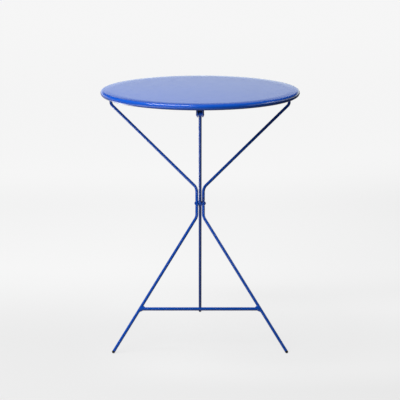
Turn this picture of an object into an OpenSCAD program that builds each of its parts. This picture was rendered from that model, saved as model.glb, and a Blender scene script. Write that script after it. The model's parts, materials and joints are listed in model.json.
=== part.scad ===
// Folding bistro table with a round steel top on three rod legs.
// The origin is on the floor under the middle of the top, and the latch side faces -Y.
// Two side rods and a crossbar make the leg frame. Its bent-in upper ends are the hinge of the top.
// The centre leg crosses the frame at the waist, and its upper end holds the keeper of the top.

/* [Top] */
// Diameter of the top
top_d = 600; // [540:10:680]
// Height of the top above the floor
table_h = 750; // [700:5:800]
// Height of the rolled edge, which is also its thickness
rim_h = 17; // [14:0.5:19]
// Thickness of the sheet of the top
sheet_t = 1.5; // [1:0.1:2]
// Angle that the edge of the sheet curls round the hoop
curl_turn = 240; // [200:5:260]
// Wall of the tube hoop inside the rolled edge
hoop_wall = 1.5; // [1:0.1:2.5]
// Diameter of the drain hole on the inner side of the hoop
drain_d = 4; // [3:0.5:5]
// Width of the channel brace under the sheet
brace_w = 30; // [27:1:40]
// Height of the channel brace
brace_h = 12; // [8:0.5:13]
// Thickness of the channel brace
brace_t = 2; // [1.5:0.1:2.5]

/* [Rods] */
// Diameter of the leg rods
rod_d = 9; // [7:0.5:9]
// Diameter of the crossbar
crossbar_d = 10; // [8:0.5:10]
// Diameter of the weld at each end of the crossbar
weld_d = 14; // [11:0.5:16]
// Length of the weld along the crossbar
weld_l = 9; // [6:0.5:14]

/* [Leg frame] */
// Distance from the edge of the top in to each side rod at the hinge
hinge_inset = 29; // [27:1:60]
// Distance of the hinge axis behind the middle of the top
hinge_y = 34; // [20:1:50]
// Depth of the hinge axis under the face of the top
hinge_drop = 26; // [24:0.5:32]
// Bend radius where a side rod turns in to its hinge pin
pin_bend_r = 11; // [9:0.5:13]
// Upright run of a side rod below the hinge axis
upright_l = 26; // [22:1:34]
// Bend radius below the upright run
shoulder_bend_r = 17; // [12:1:20]
// Bend radius at both ends of the neck
neck_bend_r = 30; // [15:1:36]
// Length of the neck above the waist pivot
neck_up = 47; // [40:1:70]
// Length of the neck below the waist pivot
neck_down = 41; // [32:1:60]
// Distance of the side rods from the middle in the neck
neck_x = 10; // [9.5:0.1:12]
// Distance of the front feet from the middle
front_foot_x = 259; // [220:1:290]
// Distance of the front feet ahead of the middle of the top
front_foot_y = 257; // [235:1:280]
// Distance from the waist pivot down the frame to the crossbar
crossbar_drop = 318; // [260:1:360]

/* [Centre leg] */
// Distance of the rear foot behind the middle of the top
rear_foot_y = 162; // [140:1:200]
// Distance from the edge of the top in to the latch pin
latch_inset = 29; // [28:1:60]
// Depth of the latch pin under the face of the top
latch_drop = 32; // [29:0.5:36]

/* [Pivots] */
// Diameter of the rivet through the waist
rivet_d = 5; // [4:0.1:5.5]
// Diameter of each rivet head
rivet_head_d = 11; // [9:0.5:12]
// Height of each rivet head
rivet_head_h = 3.2; // [2:0.1:4]
// Depth of the flats pressed on the side rods at the waist
flat_depth = 0.4; // [0.2:0.05:0.8]
// Length of the flats
flat_l = 14; // [13:0.5:18]
// Outer diameter of the bush at the waist
bush_d = 16; // [13:0.5:18]
// Diameter of the washers at the waist
waist_washer_d = 13; // [10:0.5:14]
// Thickness of the washers at the waist
waist_washer_t = 1; // [0.6:0.1:1.4]
// Thickness of each hinge lug
lug_t = 4; // [3:0.5:5]
// Radius of the lug round its bore
lug_r = 10; // [8:0.5:11]
// Diameter of the hinge washers
hinge_washer_d = 15; // [12:0.5:17]
// Thickness of the hinge washers
hinge_washer_t = 1.5; // [1:0.1:2]
// Diameter of the brim of the hinge caps
cap_brim_d = 16; // [13:0.5:17]
// Thickness of the brim and the wall of the hinge caps
cap_t = 1.2; // [0.8:0.1:1.6]
// Length of the hinge caps
cap_l = 7; // [5:0.5:9]

/* [Latch] */
// Diameter of the latch pin
latch_pin_d = 5; // [4:0.1:5.5]
// Diameter of each head of the latch pin
latch_head_d = 12; // [8:0.5:12.5]
// Height of each head of the latch pin
latch_head_h = 2.5; // [1.5:0.1:3.5]
// Outer diameter of the eye on the upper end of the centre leg
eye_d = 12; // [10:0.5:13]
// Width of the eye
eye_l = 11; // [9:0.5:12]
// Gap between the two ears of the keeper
keeper_gap = 12.4; // [12.2:0.1:14]
// Thickness of the keeper
keeper_t = 3; // [2:0.5:4]
// Radius of the ears round the latch pin
ear_r = 8; // [7:0.5:8.5]
// Length of the web of the keeper under the sheet
keeper_l = 22; // [18:1:30]
// Width of the back plate of the keeper
keeper_back_w = 22.8; // [19:0.2:28]

/* [Feet] */
// Length of the collar of a glide below the end of its rod
glide_collar = 2.5; // [1.5:0.5:4]
// Depth of the worn flat that a glide stands on
glide_flat = 0.5; // [0.3:0.1:1]
// Diameter of the spigot of a glide
spigot_d = 4; // [3:0.5:5]
// Length of the spigot of a glide
spigot_l = 12; // [8:1:16]

/* [Fits] */
// Radial clearance of a pin that turns or is pressed in its bore
pin_play = 0.05; // [0.02:0.01:0.1]
// Gap beside each washer, cap and head
side_play = 0.1; // [0.05:0.05:0.2]
// Gap between the hoop and the sheet that curls round it
rim_play = 0.1; // [0.05:0.05:0.3]
// Gap between the latch pin and its slot
latch_play = 0.15; // [0.1:0.05:0.3]
// Gap between the back plate of the keeper and the way that the eye leaves it
keeper_back_play = 1.5; // [1:0.1:3]
// Gap left between the centre leg and the crossbar when folded
fold_gap = 0.4; // [0.3:0.1:1]

/* [Hidden] */
$fn = 48;
ring_fn = 180;
paint = [0.07, 0.24, 0.67];
dark_plastic = [0.08, 0.08, 0.10];
cut = 1;
bend_lap = 0.2;
bend_swell = 0.05;

top_r = top_d / 2;
rim_r = rim_h / 2;
hoop_r = rim_r - sheet_t - rim_play;
rim_ring_r = top_r - rim_r;
sheet_under_z = table_h - sheet_t;

hinge_x = top_r - hinge_inset;
latch_y = top_r - latch_inset;
hinge_z = table_h - hinge_drop;
latch_z = table_h - latch_drop;
frame_slope = (hinge_y + front_foot_y) / hinge_z;
centre_slope = (rear_foot_y + latch_y) / latch_z;
waist_z = (rear_foot_y + front_foot_y) / (frame_slope + centre_slope);
waist_y = frame_slope * waist_z - front_foot_y;
frame_lean = atan(frame_slope);
centre_lean = atan(centre_slope);

hinge_s = (hinge_z - waist_z) / cos(frame_lean);
foot_s = -waist_z / cos(frame_lean);
latch_s = (latch_z - waist_z) / cos(centre_lean);
rear_foot_s = -waist_z / cos(centre_lean);

pin_start_x = hinge_x - pin_bend_r;
hinge_washer_x = pin_start_x - side_play;
lug_x = hinge_washer_x - hinge_washer_t - side_play;
cap_x = lug_x - lug_t - side_play;
pin_end_x = cap_x - cap_l + cap_t + side_play;

flat_x = neck_x - rod_d / 2 + flat_depth;
flat_outer_x = neck_x + rod_d / 2 - flat_depth;
waist_washer_x = flat_x - side_play;
bush_half_l = waist_washer_x - waist_washer_t - side_play;

rod_path = [
    [pin_end_x, hinge_s], [hinge_x, hinge_s], [hinge_x, hinge_s - upright_l],
    [neck_x, neck_up], [neck_x, -neck_down], [front_foot_x, foot_s]
];
bend_radii = [0, pin_bend_r, shoulder_bend_r, neck_bend_r, neck_bend_r, 0];

splay = atan((front_foot_x - neck_x) / (-foot_s - neck_down));
glide_centre_h = rod_d / 2 - glide_flat;
front_rise = cos(splay) * cos(frame_lean);
rear_rise = cos(centre_lean);
crossbar_x = neck_x + (crossbar_drop - neck_down) * tan(splay);

// The slot follows the way that the latch pin leaves the keeper as the top starts to tilt.
legs_angle = frame_lean + centre_lean;
fold_turn = legs_angle - asin((rod_d / 2 + crossbar_d / 2 + fold_gap) / crossbar_drop);
tilt_turn = 90 + frame_lean;
fold_ratio = fold_turn / tilt_turn;
slot_dy = fold_ratio * (latch_z - waist_z) - (latch_z - hinge_z);
slot_dz = fold_ratio * (latch_y + waist_y) - (latch_y + hinge_y);
slot_angle = atan2(slot_dz, slot_dy);

keeper_back_y = keeper_l - ear_r - keeper_t - latch_y;
keeper_back_z = latch_z + (keeper_back_y + latch_y) * tan(slot_angle)
    + (max(eye_d, latch_head_d) / 2 + keeper_back_play) / cos(slot_angle);

function unit(v) = v / norm(v);
function left_of(v) = [-v[1], v[0]];
function turn_side(u, v) = u[0] * v[1] - u[1] * v[0] > 0 ? 1 : -1;
function turn_angle(u, v) = acos(u * v);
function cut_back(path, radii, i) = radii[i] == 0 ? 0 :
    radii[i] * tan(turn_angle(unit(path[i] - path[i - 1]), unit(path[i + 1] - path[i])) / 2);
function run_end(path, radii, i) = radii[i] == 0 ? 0 : cut_back(path, radii, i) - bend_lap;

// One straight run between points i and i + 1, whose ends reach a little into the bends.
module rod_run(path, radii, i, d) {
    along = unit(path[i + 1] - path[i]);
    from = path[i] + along * run_end(path, radii, i);
    to = path[i + 1] - along * run_end(path, radii, i + 1);
    translate([from[0], from[1], 0])
        rotate([0, 0, atan2(along[1], along[0])])
        rotate([0, 90, 0])
        cylinder(h = norm(to - from), d = d);
}

// The bend at point i, as a piece of a ring that is a hair thicker than the runs.
module rod_bend(path, radii, i, d) {
    arrive = unit(path[i] - path[i - 1]);
    leave = unit(path[i + 1] - path[i]);
    side = turn_side(arrive, leave);
    turn = turn_angle(arrive, leave);
    centre = path[i] - arrive * cut_back(path, radii, i) + side * radii[i] * left_of(arrive);
    first = atan2(-side * arrive[0], side * arrive[1]);
    translate([centre[0], centre[1], 0])
        rotate([0, 0, side > 0 ? first : first - turn])
        rotate_extrude(angle = turn, $fn = ring_fn)
        translate([radii[i], 0])
        circle(r = d / 2 + bend_swell);
}

// A round rod bent in the XZ plane, along path.
module bent_rod(path, radii, d) {
    last = len(path) - 1;
    rotate([90, 0, 0]) {
        for (i = [0 : last - 1]) rod_run(path, radii, i, d);
        for (i = [1 : last - 1]) rod_bend(path, radii, i, d);
    }
}

// The leg frame's own plane: X across, Z up the frame from the waist pivot.
module in_frame() {
    translate([0, waist_y, waist_z]) rotate([-frame_lean, 0, 0]) children();
}

// The centre leg's own line: Z up the leg from the waist pivot.
module in_centre_leg() {
    translate([0, waist_y, waist_z]) rotate([centre_lean, 0, 0]) children();
}

// Puts what lies at x > 0 on the left side as well, as its mirror image.
module on_side(side) {
    mirror([side < 0 ? 1 : 0, 0, 0]) children();
}

// A disc across X whose faces lie at x0 and x0 - t.
module disc_x(x0, t, d) {
    translate([x0 - t, 0, 0]) rotate([0, 90, 0]) cylinder(h = t, d = d);
}

// A washer across X whose faces lie at x0 and x0 - t.
module washer_x(x0, t, d, bore) {
    difference() {
        disc_x(x0, t, d);
        disc_x(x0 + cut, t + 2 * cut, bore);
    }
}

// A domed head that stands on a flat face at z = 0.
module dome(d, h) {
    dome_r = (d * d / 4 + h * h) / (2 * h);
    rotate_extrude()
        intersection() {
            translate([0, h - dome_r]) circle(r = dome_r, $fn = 96);
            square([d / 2, h]);
        }
}

// A pin across X with a domed head at each end.
module headed_pin(half_l, d, head_d, head_h) {
    disc_x(half_l, 2 * half_l, d);
    for (side = [-1, 1])
        on_side(side) translate([half_l, 0, 0]) rotate([0, 90, 0]) dome(head_d, head_h);
}

module rim_section() {
    difference() {
        circle(r = rim_r, $fn = 96);
        circle(r = rim_r - sheet_t, $fn = 96);
        polygon([
            [0, 0], [0, 2 * rim_r], [-2 * rim_r, 2 * rim_r],
            2 * rim_r * [cos(90 - curl_turn), sin(90 - curl_turn)]
        ]);
    }
}

module top_sheet() {
    color(paint)
        rotate_extrude($fn = ring_fn) {
            translate([0, sheet_under_z]) square([rim_ring_r, sheet_t]);
            translate([rim_ring_r, table_h - rim_r]) rim_section();
        }
}

module rim_hoop() {
    color(paint)
        difference() {
            translate([0, 0, table_h - rim_r])
                rotate_extrude($fn = ring_fn)
                translate([rim_ring_r, 0])
                difference() {
                    circle(r = hoop_r);
                    circle(r = hoop_r - hoop_wall);
                }
            translate([0, rim_ring_r, table_h - rim_r])
                rotate([90, 0, 0])
                cylinder(h = hoop_r + cut, d = drain_d);
        }
}

module hinge_brace() {
    brace_l = 2 * (lug_x + brace_t);
    color(paint)
        translate([-brace_l / 2, hinge_y, sheet_under_z])
        difference() {
            translate([0, -brace_w / 2, -brace_h]) cube([brace_l, brace_w, brace_h]);
            translate([-cut, brace_t - brace_w / 2, -brace_h - cut])
                cube([brace_l + 2 * cut, brace_w - 2 * brace_t, brace_h - brace_t + cut]);
        }
}

module hinge_lug(side) {
    color(paint)
        on_side(side)
        translate([0, hinge_y, hinge_z])
        difference() {
            union() {
                disc_x(lug_x, lug_t, 2 * lug_r);
                translate([lug_x - lug_t, -lug_r, 0])
                    cube([lug_t, 2 * lug_r, sheet_under_z - brace_t - hinge_z]);
            }
            disc_x(lug_x + cut, lug_t + 2 * cut, rod_d + 2 * pin_play);
        }
}

module keeper_ear(side) {
    on_side(side)
        translate([keeper_gap / 2, -latch_y, latch_z])
        difference() {
            union() {
                disc_x(keeper_t, keeper_t, 2 * ear_r);
                translate([0, -ear_r, 0]) cube([keeper_t, 2 * ear_r, sheet_under_z - latch_z]);
                translate([0, 0, keeper_back_z - latch_z])
                    cube([keeper_t, keeper_l - ear_r, sheet_under_z - keeper_back_z]);
            }
            disc_x(keeper_t + cut, keeper_t + 2 * cut, latch_pin_d + 2 * latch_play);
            rotate([slot_angle, 0, 0])
                translate([-cut, 0, -latch_pin_d / 2 - latch_play])
                cube([keeper_t + 2 * cut, 2 * ear_r, latch_pin_d + 2 * latch_play]);
        }
}

module front_keeper() {
    color(paint) {
        translate([-keeper_gap / 2, -latch_y - ear_r, sheet_under_z - keeper_t])
            cube([keeper_gap, keeper_l, keeper_t]);
        translate([-keeper_back_w / 2, keeper_back_y, keeper_back_z])
            cube([keeper_back_w, keeper_t, sheet_under_z - keeper_back_z]);
        for (side = [-1, 1]) keeper_ear(side);
    }
}

// The line of a side rod from the bend under the neck to its foot, with Z up the rod.
module on_foot_line() {
    translate([front_foot_x, 0, foot_s]) rotate([0, -splay, 0]) children();
}

module side_rod(side) {
    color(paint)
        on_side(side)
        in_frame()
        difference() {
            bent_rod(rod_path, bend_radii, rod_d);
            disc_x(neck_x + rod_d, 2 * rod_d, rivet_d + 2 * pin_play);
            for (x0 = [flat_x - cut, flat_outer_x])
                translate([x0, -rod_d / 2, -flat_l / 2]) cube([cut, rod_d, flat_l]);
            on_foot_line() {
                translate([0, 0, -rod_d])
                    cylinder(h = rod_d + glide_centre_h / front_rise + glide_collar, d = 2 * rod_d);
                cylinder(h = glide_centre_h / front_rise + glide_collar + spigot_l + side_play,
                    d = spigot_d + 2 * pin_play);
            }
        }
}

// The bar is coped on the side rods, and its welds wrap their inner sides.
module crossbar() {
    color(paint)
        in_frame()
        translate([0, 0, -crossbar_drop])
        difference() {
            union() {
                disc_x(crossbar_x, 2 * crossbar_x, crossbar_d);
                for (side = [-1, 1])
                    on_side(side)
                    translate([crossbar_x - weld_l, 0, 0])
                    rotate([0, 90, 0])
                    cylinder(h = weld_l, d1 = crossbar_d, d2 = weld_d);
            }
            for (side = [-1, 1])
                on_side(side)
                translate([crossbar_x, 0, 0])
                rotate([0, -splay, 0]) {
                    translate([0, 0, -2 * weld_d]) cylinder(h = 4 * weld_d, d = rod_d);
                    translate([0, -weld_d, -2 * weld_d]) cube([weld_d, 2 * weld_d, 4 * weld_d]);
                }
        }
}

module waist_rivet() {
    color(paint)
        in_frame()
        headed_pin(flat_outer_x + side_play, rivet_d, rivet_head_d, rivet_head_h);
}

module waist_washer(side) {
    color(dark_plastic)
        on_side(side)
        in_frame()
        washer_x(waist_washer_x, waist_washer_t, waist_washer_d, rivet_d + 2 * pin_play);
}

module hinge_washer(side) {
    color(dark_plastic)
        on_side(side)
        translate([0, hinge_y, hinge_z])
        washer_x(hinge_washer_x, hinge_washer_t, hinge_washer_d, rod_d + 2 * pin_play);
}

module hinge_cap(side) {
    color(paint)
        on_side(side)
        translate([cap_x, hinge_y, hinge_z])
        rotate([0, -90, 0])
        rotate_extrude()
        difference() {
            union() {
                square([cap_brim_d / 2, cap_t]);
                square([rod_d / 2 + pin_play + cap_t, cap_l]);
            }
            translate([-cut, -cut]) square([rod_d / 2 + pin_play + cut, cap_l - cap_t + cut]);
        }
}

// A glide on the Z axis, with the middle of its round tip at z = 0.
module glide_body() {
    rotate_extrude() {
        intersection() {
            circle(r = rod_d / 2);
            translate([0, -rod_d]) square([rod_d, rod_d]);
        }
        square([rod_d / 2, glide_collar]);
        square([spigot_d / 2, glide_collar + spigot_l]);
    }
}

module below_floor() {
    side = 2 * top_d;
    translate([-side / 2, -side / 2, -rod_d]) cube([side, side, rod_d]);
}

module front_foot_glide(side) {
    color(dark_plastic)
        on_side(side)
        difference() {
            in_frame() on_foot_line() translate([0, 0, glide_centre_h / front_rise]) glide_body();
            below_floor();
        }
}

module rear_foot_glide() {
    color(dark_plastic)
        difference() {
            in_centre_leg() translate([0, 0, rear_foot_s + glide_centre_h / rear_rise]) glide_body();
            below_floor();
        }
}

module upper_centre_rod() {
    color(paint)
        in_centre_leg()
        difference() {
            cylinder(h = latch_s, d = rod_d);
            disc_x(rod_d, 2 * rod_d, bush_d);
            translate([0, 0, latch_s]) disc_x(rod_d, 2 * rod_d, eye_d);
        }
}

module waist_bush() {
    color(paint)
        in_centre_leg()
        washer_x(bush_half_l, 2 * bush_half_l, bush_d, rivet_d + 2 * pin_play);
}

module lower_centre_rod() {
    rod_end_s = rear_foot_s + glide_centre_h / rear_rise + glide_collar;
    color(paint)
        in_centre_leg()
        difference() {
            translate([0, 0, rod_end_s]) cylinder(h = -rod_end_s, d = rod_d);
            disc_x(rod_d, 2 * rod_d, bush_d);
            translate([0, 0, rod_end_s - cut])
                cylinder(h = spigot_l + side_play + cut, d = spigot_d + 2 * pin_play);
        }
}

module latch_eye() {
    color(paint)
        in_centre_leg()
        translate([0, 0, latch_s])
        washer_x(eye_l / 2, eye_l, eye_d, latch_pin_d + 2 * pin_play);
}

module latch_pin() {
    color(paint)
        in_centre_leg()
        translate([0, 0, latch_s])
        headed_pin(keeper_gap / 2 + keeper_t + latch_play, latch_pin_d, latch_head_d, latch_head_h);
}

top_sheet();
rim_hoop();
hinge_brace();
hinge_lug(-1);  // left_hinge_lug
hinge_lug(1);  // right_hinge_lug
front_keeper();
side_rod(-1);  // left_side_rod
side_rod(1);  // right_side_rod
crossbar();
waist_rivet();
waist_washer(-1);  // left_waist_washer
waist_washer(1);  // right_waist_washer
hinge_washer(-1);  // left_hinge_washer
hinge_washer(1);  // right_hinge_washer
hinge_cap(-1);  // left_hinge_cap
hinge_cap(1);  // right_hinge_cap
front_foot_glide(-1);  // left_foot_glide
front_foot_glide(1);  // right_foot_glide
upper_centre_rod();
waist_bush();
lower_centre_rod();
latch_eye();
latch_pin();
rear_foot_glide();
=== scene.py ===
"""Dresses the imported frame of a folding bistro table: rolled top, bent rods, welds and feet."""

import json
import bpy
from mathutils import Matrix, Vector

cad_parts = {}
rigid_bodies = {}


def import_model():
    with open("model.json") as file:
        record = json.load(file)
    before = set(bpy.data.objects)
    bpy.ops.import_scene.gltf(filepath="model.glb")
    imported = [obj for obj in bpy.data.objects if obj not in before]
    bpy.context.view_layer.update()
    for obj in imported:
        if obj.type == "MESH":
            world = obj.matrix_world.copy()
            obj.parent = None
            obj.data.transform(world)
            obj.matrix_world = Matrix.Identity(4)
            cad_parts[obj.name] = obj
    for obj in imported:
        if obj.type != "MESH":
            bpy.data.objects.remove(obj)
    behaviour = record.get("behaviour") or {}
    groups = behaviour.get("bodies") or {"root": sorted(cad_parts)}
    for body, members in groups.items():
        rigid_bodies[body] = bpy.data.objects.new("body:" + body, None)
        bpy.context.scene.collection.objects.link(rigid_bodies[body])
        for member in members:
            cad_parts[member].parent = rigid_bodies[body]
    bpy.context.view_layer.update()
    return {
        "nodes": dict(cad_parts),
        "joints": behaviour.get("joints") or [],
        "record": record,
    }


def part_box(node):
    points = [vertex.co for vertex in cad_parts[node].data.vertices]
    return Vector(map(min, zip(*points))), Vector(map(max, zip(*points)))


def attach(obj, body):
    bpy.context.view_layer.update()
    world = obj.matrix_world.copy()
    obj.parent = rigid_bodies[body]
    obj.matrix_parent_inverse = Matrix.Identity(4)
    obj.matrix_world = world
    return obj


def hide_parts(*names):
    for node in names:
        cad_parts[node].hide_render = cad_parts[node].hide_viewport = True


bl_info = {
    "name": "Folding Bistro Table",
    "version": (1, 0, 0),
    "blender": (4, 5, 0),
    "location": "3D View > Sidebar > Bistro Table",
    "description": "Builds the powder coated pieces of a folding bistro table and its studio",
    "category": "Object",
}

from math import asin, atan, atan2, copysign, cos, degrees, pi, prod, radians, sin, sqrt, tan

import bmesh
import bpy
from bpy.props import FloatProperty, FloatVectorProperty, IntProperty, PointerProperty
from mathutils import Matrix, Vector

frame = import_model()

MM = 0.001
SIDES = {"left": -1, "right": 1}
COAT = "blue_powder_coat"
PLASTIC = "dark_plastic"
SHARP_ANGLE = radians(40)
MERGE_DISTANCE = 2e-6


def size_of(node):
    """Width, depth and height of a node of the frame."""
    low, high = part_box(node)
    return high - low


def middle_of(node):
    """Centre of the box of a node of the frame."""
    low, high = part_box(node)
    return (low + high) / 2


def place_of(rows, name):
    """Place of a joint or a mount, from the rows of its kind."""
    return Vector(next(row["pos_m"] for row in rows if row["name"] == name))


def moved(x, y, z):
    """Moves a shape."""
    return Matrix.Translation((x, y, z))


HINGE = place_of(frame["joints"], "top_tilt")
WAIST = place_of(frame["joints"], "leg_fold")
LATCH = middle_of("latch_pin")
LATCH_S = (LATCH - WAIST).length
ROD_D = size_of("upper_centre_rod").x
RIM_H = size_of("top_sheet").z
TOP_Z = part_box("top_sheet")[1].z
TOP_R = round(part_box("top_sheet")[1].x, 4)

FRAME_LEAN = atan2(HINGE.y - WAIST.y, HINGE.z - WAIST.z)
CENTRE_LEAN = atan2(WAIST.y - LATCH.y, LATCH.z - WAIST.z)
HERE = Matrix.Identity(4)
IN_FRAME = Matrix.Translation(WAIST) @ Matrix.Rotation(-FRAME_LEAN, 4, "X")
IN_CENTRE_LEG = Matrix.Translation(WAIST) @ Matrix.Rotation(CENTRE_LEAN, 4, "X")

# A flat outline in U and V, extruded along W: U, V and W come to lie along Y, Z and X, or along
# X, Z and the front.
ACROSS_X = Matrix(((0, 0, 1, 0), (1, 0, 0, 0), (0, 1, 0, 0), (0, 0, 0, 1)))
ALONG_Y = Matrix(((1, 0, 0, 0), (0, 0, -1, 0), (0, 1, 0, 0), (0, 0, 0, 1)))

# Width, height and distance in metres, bearing to the right of the camera and lift in degrees.
LAMPS = {
    "key": (1.6, 1.2, 1.9, -34, 33),
    "edge": (0.4, 1.0, 1.9, -90, 70),
    "fill": (0.5, 0.5, 2.6, 92, 30),
}

# Soft patches of light and shade. A patch is a product of fades. A fade gives its axis, where it
# starts and ends, and its values there, if they aren't 0 and 1. Places on the floor are in metres
# from the middle of the table, and places in the sky are parts of the direction.
FLOOR_TONES = {
    "middle": [("Y", -0.2, 0.75, 0, 0.122)],
    "far": [("Y", 1.6, 2.4, 0, 0.045)],
    "horizon": [("Y", 2.4, 9, 0, 0.02)],
    # Painted shade: darkens the floor in a band to the right of and behind the table, where the
    # top's shadow from a low light would lie.
    "right": [("X", 0.1, 1.2, 0, -0.035), ("Y", 0.1, 0.5), ("Y", 2.0, 2.8, 1, 0)],
    # Painted light: lifts the floor's tone for the camera where the table's shadow falls, so that
    # the shadow shows fainter.
    "painted_shadow_lift": [("X", -0.4, 0), ("Y", -0.6, -0.35), ("Y", 0.15, 0.45, 0.05, 0)],
}
# Painted reflections: glows of the floor that only glossy rays see, bright patches that stand in
# for softboxes and lit parts of the studio.
FLOOR_REFLECTED_GLOW = {
    "ahead": [("Y", -0.2, 0.6, 0.4, 0.14), ("X", 0.2, 1.4, 1, 0.1)],
    "behind_left": [("X", -0.3, 0, 0.4, 0), ("Y", 0.2, 0.6)],
    "left": [("X", -1.2, -0.7, 3.2, 0), ("X", -3.2, -2.2), ("Y", -0.5, 0, 1, 0)],
    "near_left": [
        ("X", -0.75, -0.5, 6, 0),
        ("X", -1.4, -1.1),
        ("Y", 0.1, 0.3),
        ("Y", 0.8, 1.1, 1, 0),
    ],
}
# Painted bounce light: a glow of the floor that only diffuse rays see, bright at the front left
# and dim to the right.
FLOOR_BOUNCE = [("X", -0.6, 0.2, 0.5, 0.04), ("Y", -0.3, 0.5, 1, 0.1)]
SKY_GLOSS = {
    "behind": [("Y", -0.1, 0.6), ("Z", 0.11, 0.23, 1.42, 0.023)],
    "left": [("X", -0.9, -0.2, 0.25, 0), ("Z", 0.15, 0.45, 1, 0)],
    "right": [("X", 0.7, 0.9, 0, 2), ("Z", 0.05, 0.25), ("Z", 0.55, 0.75, 1, 0)],
}
SKY_DARK = 0.024
SKY_BOUNCE = [("X", -1.0, 0.5, 0.28, SKY_DARK)]
SKY_GLOSS_COLOUR = (0.97, 1.04, 0.99)


def number(name, description, value, **kind):
    """A property that holds a number."""
    return FloatProperty(name=name, description=description, default=value, **kind)


def length(name, description, millimetres):
    """A property that holds a length, given in millimetres."""
    kind = {"min": 0.0, "unit": "LENGTH", "subtype": "DISTANCE", "precision": 5}
    return number(name, description, millimetres * MM, **kind)


def share(name, description, value):
    """A property that holds a share."""
    return number(name, description, value, min=0.0, max=1.0, subtype="FACTOR")


def angle(name, description, turn):
    """A property that holds an angle, given in degrees."""
    return number(name, description, radians(turn), unit="ROTATION", subtype="ANGLE")


def count(name, description, value):
    """A property that holds a whole number."""
    return IntProperty(name=name, description=description, default=value, min=1)


def colour(name, description, linear):
    """A property that holds a colour."""
    kind = {"min": 0.0, "max": 1.0, "size": 3, "subtype": "COLOR"}
    return FloatVectorProperty(name=name, description=description, default=linear, **kind)


class FinishSettings(bpy.types.PropertyGroup):
    """Colours and textures of the finishes."""

    coat: colour("Coat", "Colour of the powder coat", (0.004, 0.068, 0.42))
    coat_roughness: share("Coat roughness", "Roughness of the satin powder coat", 0.2)
    coat_patches: share("Patches", "How much the roughness of the coat changes", 0.06)
    peel_size: length("Peel size", "Size of the orange peel of the coat", 1.4)
    peel_depth: length("Peel depth", "Depth of the orange peel of the coat", 0.002)
    plastic: colour("Plastic", "Colour of the glides and washers", (0.012, 0.013, 0.018))
    plastic_worn: colour("Worn plastic", "Colour of a glide where it rubs", (0.07, 0.07, 0.075))
    plastic_roughness: share("Plastic roughness", "Roughness of the plastic", 0.5)
    grain_size: length("Grain size", "Size of the moulded grain of the plastic", 0.5)
    grain_depth: length("Grain depth", "Depth of the moulded grain of the plastic", 0.03)
    worn_height: length("Worn height", "Height above the floor that is scuffed", 1.2)


class TopSettings(bpy.types.PropertyGroup):
    """Sizes of the pressed top and what hangs under it."""

    sheet: length("Sheet", "Thickness of the sheet", 1.5)
    fall: length("Fall", "Depth that the face falls before the rolled edge", 0.8)
    shoulder: length("Shoulder", "Width of the fall before the rolled edge", 28)
    curl: angle("Curl", "Angle that the edge curls round the hoop", 240)
    turns: count("Facets", "Facets round the top", 288)
    brace_wall: length("Brace wall", "Thickness of the channel brace", 2)
    brace_bend: length("Brace bend", "Outer radius of the two bends of the brace", 3.5)
    plate_edge: length("Plate edge", "Radius on the edges of the cut plates", 0.4)
    spot_count: count("Spots", "Spot welds along the brace", 7)
    spot_pitch: length("Spot pitch", "Distance between two spot welds", 70)
    spot_d: length("Spot diameter", "Diameter of the lip of a spot weld", 5.5)
    spot_lip: length("Spot lip", "Thickness of the lip of a spot weld", 0.5)
    keeper_wall: length("Keeper wall", "Thickness of the keeper", 3)
    keeper_gap: length("Keeper gap", "Gap between the two ears of the keeper", 12.4)
    keeper_bend: length("Keeper bend", "Outer radius of the two bends of the keeper", 4.5)
    back_reach: length("Back reach", "Length of the back plate below the sheet", 33.7)
    back_corner: length("Back corner", "Radius of the corners of the back plate", 2.5)
    slot: length("Slot", "Width of the slot of the keeper", 5.3)
    slot_turn: angle("Slot turn", "Turn of the slot from the rear, down", -57)


class RodSettings(bpy.types.PropertyGroup):
    """Route of the bent rods."""

    reach: length("Reach", "Distance of the upright runs from the middle", 271)
    pin_end: length("Pin end", "Distance of the end of a hinge pin from the middle", 248.5)
    upright: length("Upright", "Length of the upright run under the hinge", 26)
    neck_up: length("Neck up", "Length of the neck above the waist", 47)
    neck_down: length("Neck down", "Length of the neck below the waist", 41)
    neck: length("Neck", "Distance of a rod from the middle in the neck", 10)
    pin_bend: length("Pin bend", "Radius of the bend at the hinge pin", 11)
    shoulder_bend: length("Shoulder bend", "Radius of the bend below the upright run", 17)
    neck_bend: length("Neck bend", "Radius of the bends of the neck", 30)
    flat_depth: length("Flat depth", "Depth of the flats pressed at the waist", 0.4)
    flat_length: length("Flat length", "Length of the flats pressed at the waist", 14)
    flat_fade: length("Flat fade", "Length in which a flat fades into the round", 4)
    chamfer: length("Chamfer", "Chamfer on the sawn ends of the rods", 0.4)
    bar_drop: length("Crossbar drop", "Distance down the frame to the crossbar", 318)
    bar_d: length("Crossbar diameter", "Diameter of the crossbar", 10)
    facets: count("Facets", "Facets round a rod", 40)
    bend_steps: count("Bend steps", "Facets along a bend", 16)


class PivotSettings(bpy.types.PropertyGroup):
    """Sizes of the turned pieces of the pivots and the feet."""

    pin_d: length("Pin diameter", "Diameter of the rivet and of the latch pin", 5)
    play: length("Play", "Radial clearance round a pin", 0.05)
    rivet_head: length("Rivet head", "Height of a head of the rivet", 3.2)
    latch_head: length("Latch head", "Height of a head of the latch pin", 2.5)
    head_edge: length("Head edge", "Height of the straight edge of a head", 0.35)
    corner: length("Corner", "Radius on the corners of the turned pieces", 0.5)
    washer_corner: length("Washer corner", "Radius on the corners of the washers", 0.25)
    cap_wall: length("Cap wall", "Thickness of the hinge caps", 1.2)
    collar: length("Collar", "Length of a glide between its rod and its round tip", 2.5)
    sole: length("Sole", "Depth of the worn flat that a glide stands on", 0.5)
    spigot_d: length("Spigot diameter", "Diameter of the spigot of a glide", 4)
    spigot: length("Spigot", "Length of the spigot of a glide", 12)
    facets: count("Facets", "Facets round a turned piece", 48)


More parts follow.
